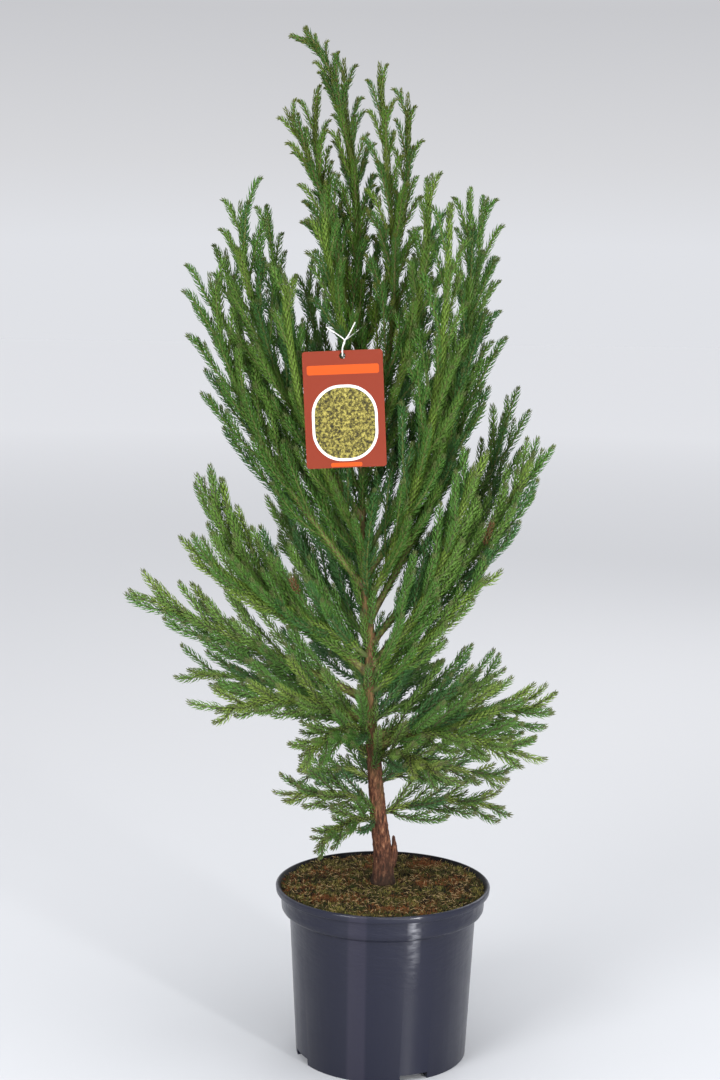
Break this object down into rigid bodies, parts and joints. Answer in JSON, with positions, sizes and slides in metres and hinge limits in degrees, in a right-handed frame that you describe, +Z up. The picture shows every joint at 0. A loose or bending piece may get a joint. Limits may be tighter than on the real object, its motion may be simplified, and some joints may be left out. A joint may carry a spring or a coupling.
{
  "type": "cryptomeria in a nursery pot",
  "caption": "Young Japanese cedar with a slim, slightly leaning trunk and upswept plumes of short incurved needles, standing in a dark round nursery pot with a hanging label.",
  "frame": {"origin": "middle of the pot's flat underside, on the ground", "axes": "+Z up from the pot's underside along the trunk, +X to the right as seen from the label's side, +Y to the back"},
  "size_m": [0.4299, 0.288, 1.0353],
  "materials": {
    "pot_plastic": "moulded blue-black plastic with a soft gloss and faint vertical streaks",
    "moss": "potting soil under a matt of olive and rust moss with straw bits",
    "bark": "fibrous red-brown bark in long strips, greener towards the tip",
    "bough_bark": "green-brown young bark with needle scars",
    "foliage": "satin green needles, bluer inside and yellower at the tips",
    "label_card": "smooth printed plastic card, rust red with a mottled yellow-green panel",
    "tie_wire": "off-white paper-covered wire tie"
  },
  "bodies": {
    "root": {"pot": "pot_plastic", "soil": "moss", "trunk": "bark", "label": "label_card", "tie": "tie_wire", "low_right_bough": "bough_bark", "low_right_front_bough": "bough_bark", "low_left_bough": "bough_bark", "low_left_front_bough": "bough_bark", "mid_left_bough": "bough_bark", "mid_right_bough": "bough_bark", "mid_right_back_bough": "bough_bark", "tall_right_bough": "bough_bark", "tall_right_out_bough": "bough_bark", "outer_left_bough": "bough_bark", "big_left_bough": "bough_bark", "upper_right_bough": "bough_bark", "skirt_left": "foliage", "skirt_left_low": "foliage", "skirt_left_back": "foliage", "skirt_right": "foliage", "skirt_right_back": "foliage", "skirt_back": "foliage", "skirt_front": "foliage", "low_right": "foliage", "low_right_front": "foliage", "low_right_back": "foliage", "low_back": "foliage", "low_left": "foliage", "low_left_front": "foliage", "low_left_back": "foliage", "low_front": "foliage", "low_back_left": "foliage", "mid_left": "foliage", "mid_left_back": "foliage", "mid_left_front": "foliage", "mid_right": "foliage", "mid_right_back": "foliage", "mid_right_low": "foliage", "mid_front": "foliage", "mid_back": "foliage", "tall_right": "foliage", "tall_right_front": "foliage", "tall_right_out": "foliage", "tall_right_back": "foliage", "outer_left": "foliage", "outer_left_back": "foliage", "big_left": "foliage", "big_left_back": "foliage", "behind_left": "foliage", "tall_back": "foliage", "tall_left_front": "foliage", "upper_left": "foliage", "upper_left_in": "foliage", "upper_right": "foliage", "upper_right_out": "foliage", "upper_right_in": "foliage", "upper_front": "foliage", "upper_back": "foliage", "leader": "foliage"}
  },
  "joints": []
}
